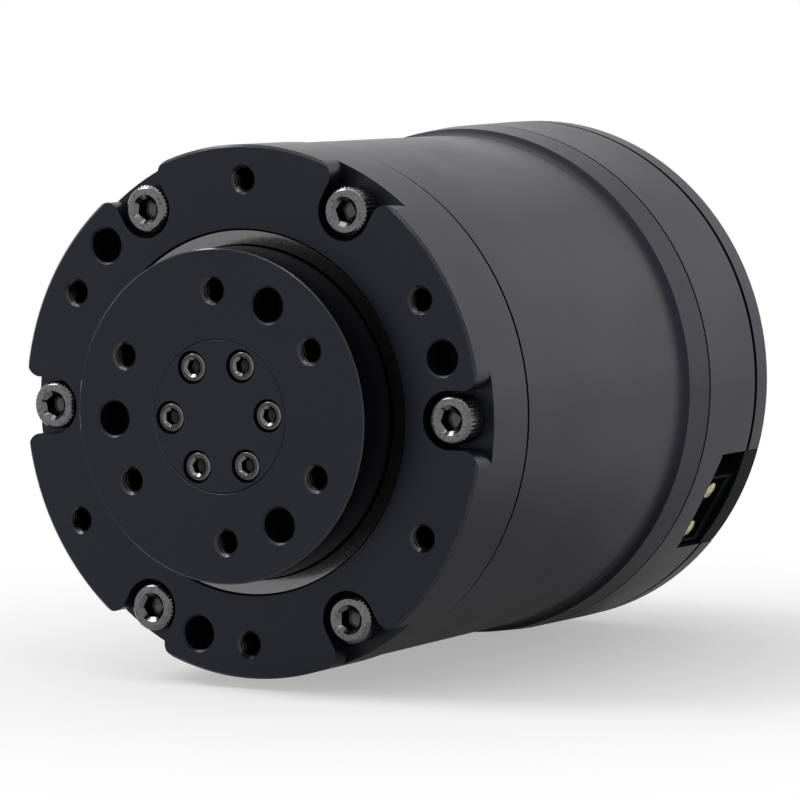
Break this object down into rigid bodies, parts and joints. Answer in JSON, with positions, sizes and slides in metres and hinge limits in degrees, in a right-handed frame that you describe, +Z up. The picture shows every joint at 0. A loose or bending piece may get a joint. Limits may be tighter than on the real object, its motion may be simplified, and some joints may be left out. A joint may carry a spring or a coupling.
{
  "type": "robot joint actuator",
  "caption": "Cylindrical geared joint actuator: a fixed mounting ring around a turning output disc, a smooth barrel and a rear electronics band with a side power socket.",
  "frame": {"origin": "centre of the front flange's mounting face, on the output axis", "axes": "-Y out of the output face along the output axis, +Z up, +X towards the side with the power socket, which sits below the middle"},
  "size_m": [0.08, 0.097, 0.08],
  "materials": {
    "black_housing": "satin black anodised",
    "bright_steel": "bright zinc-plated steel",
    "dark_steel": "plain steel screws",
    "seal_case": "polished steel",
    "seal_rubber": "black rubber",
    "bearing_steel": "ground bearing steel",
    "gear_steel": "cut and hardened gear steel",
    "turned_steel": "turned steel",
    "bronze": "sintered bronze",
    "magnet": "nickel-plated magnet",
    "lamination": "stacked electrical steel",
    "copper": "enamelled copper wire",
    "bare_aluminium": "machined aluminium",
    "board": "solder mask on glass-fibre board",
    "chip": "black moulded chip",
    "capacitor": "aluminium can",
    "standoff": "brass",
    "black_plastic": "black moulded plastic",
    "white_plastic": "natural moulded plastic",
    "gold": "gold-plated contact"
  },
  "bodies": {
    "housing": {"front_flange": "black_housing", "barrel_housing": "black_housing", "driver_housing": "black_housing", "rear_cover": "black_housing", "flange_screws": "bright_steel", "cover_screws": "dark_steel", "board_screws": "dark_steel", "output_seal_case": "seal_case", "output_seal_lip": "seal_rubber", "bearing_outer_ring": "bearing_steel", "front_rotor_bearing_outer": "bearing_steel", "rear_rotor_bearing_outer": "bearing_steel", "ring_gear": "gear_steel", "stator_core": "lamination", "stator_coils": "copper", "motor_end_plate": "bare_aluminium", "driver_board": "board", "board_mosfets": "chip", "board_processor": "chip", "encoder_sensor": "chip", "board_capacitors": "capacitor", "board_standoffs": "standoff", "power_connector": "black_plastic", "signal_connector": "white_plastic", "power_contacts": "gold", "signal_contacts": "gold"},
    "output": {"output_flange": "black_housing", "centre_cap": "black_housing", "cap_screws": "dark_steel", "bearing_inner_ring": "bearing_steel", "output_carrier": "turned_steel", "carrier_screws": "dark_steel", "pilot_bush": "bronze", "output_planet_pins": "turned_steel"},
    "roller_set": {"bearing_rollers": "bearing_steel"},
    "intermediate": {"output_sun_gear": "gear_steel", "input_carrier": "turned_steel", "input_planet_pins": "turned_steel"},
    "rotor": {"input_sun_gear": "gear_steel", "rotor_shaft": "turned_steel", "rotor_hub": "turned_steel", "rotor_magnets": "magnet", "encoder_magnet": "magnet", "front_rotor_bearing_inner": "bearing_steel", "front_rotor_bearing_balls": "bearing_steel", "rear_rotor_bearing_inner": "bearing_steel", "rear_rotor_bearing_balls": "bearing_steel"},
    "output_planet_1": {"output_planet_1": "gear_steel"},
    "input_planet_1": {"input_planet_1": "gear_steel"},
    "output_planet_2": {"output_planet_2": "gear_steel"},
    "input_planet_2": {"input_planet_2": "gear_steel"},
    "output_planet_3": {"output_planet_3": "gear_steel"},
    "input_planet_3": {"input_planet_3": "gear_steel"}
  },
  "joints": [
    {"name": "output_turn", "type": "hinge", "parent": "housing", "child": "output", "pos_m": [0, 0, 0], "axis": [0, -1, 0], "continuous": true},
    {"name": "roller_set_turn", "type": "hinge", "parent": "housing", "child": "roller_set", "pos_m": [0, 0, 0], "axis": [0, -1, 0], "continuous": true},
    {"name": "intermediate_turn", "type": "hinge", "parent": "housing", "child": "intermediate", "pos_m": [0, 0, 0], "axis": [0, -1, 0], "continuous": true},
    {"name": "rotor_turn", "type": "hinge", "parent": "housing", "child": "rotor", "pos_m": [0, 0, 0], "axis": [0, -1, 0], "continuous": true},
    {"name": "output_planet_1_spin", "type": "hinge", "parent": "output", "child": "output_planet_1", "pos_m": [-0.00071, 0, 0.01498], "axis": [0, -1, 0], "continuous": true},
    {"name": "output_planet_2_spin", "type": "hinge", "parent": "output", "child": "output_planet_2", "pos_m": [-0.01262, 0, -0.0081], "axis": [0, -1, 0], "continuous": true},
    {"name": "output_planet_3_spin", "type": "hinge", "parent": "output", "child": "output_planet_3", "pos_m": [0.01333, 0, -0.00688], "axis": [0, -1, 0], "continuous": true},
    {"name": "input_planet_1_spin", "type": "hinge", "parent": "intermediate", "child": "input_planet_1", "pos_m": [0, 0, 0.015], "axis": [0, -1, 0], "continuous": true},
    {"name": "input_planet_2_spin", "type": "hinge", "parent": "intermediate", "child": "input_planet_2", "pos_m": [-0.01299, 0, -0.0075], "axis": [0, -1, 0], "continuous": true},
    {"name": "input_planet_3_spin", "type": "hinge", "parent": "intermediate", "child": "input_planet_3", "pos_m": [0.01299, 0, -0.0075], "axis": [0, -1, 0], "continuous": true}
  ],
  "couplings": [
    {"joint": "roller_set_turn", "follows": "output_turn", "ratio": 0.47023},
    {"joint": "intermediate_turn", "follows": "output_turn", "ratio": 5},
    {"joint": "rotor_turn", "follows": "output_turn", "ratio": 25},
    {"joint": "output_planet_1_spin", "follows": "output_turn", "ratio": -2.6667},
    {"joint": "output_planet_2_spin", "follows": "output_turn", "ratio": -2.6667},
    {"joint": "output_planet_3_spin", "follows": "output_turn", "ratio": -2.6667},
    {"joint": "input_planet_1_spin", "follows": "output_turn", "ratio": -13.333},
    {"joint": "input_planet_2_spin", "follows": "output_turn", "ratio": -13.333},
    {"joint": "input_planet_3_spin", "follows": "output_turn", "ratio": -13.333}
  ]
}
